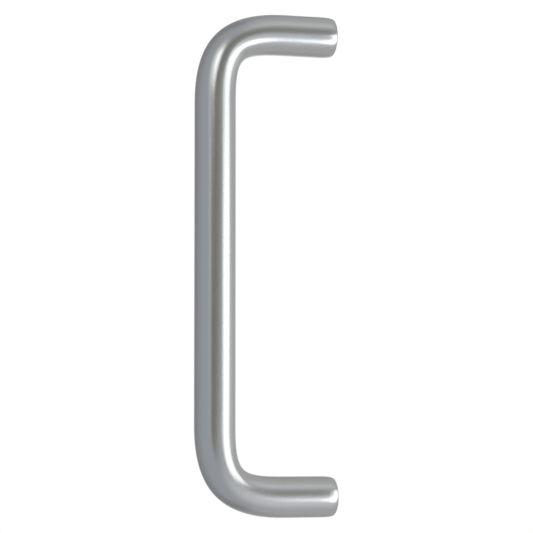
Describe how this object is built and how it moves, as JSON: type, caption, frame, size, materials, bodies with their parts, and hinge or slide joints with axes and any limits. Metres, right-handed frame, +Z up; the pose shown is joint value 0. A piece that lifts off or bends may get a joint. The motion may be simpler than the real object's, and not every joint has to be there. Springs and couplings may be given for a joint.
{
  "type": "door pull handle",
  "caption": "D-shaped door pull bent from a round satin bar, with squeezed bends and a blind tapped hole in each foot for bolts through the door.",
  "frame": {"origin": "midway between the two fixing holes, on the door face that the feet stand on", "axes": "+Z up along the grip, +Y into the door, +X to the right for someone facing the door"},
  "size_m": [0.02, 0.07, 0.245],
  "materials": {
    "satin_aluminium": "satin anodised"
  },
  "bodies": {
    "root": {"pull_handle": "satin_aluminium"}
  },
  "joints": []
}
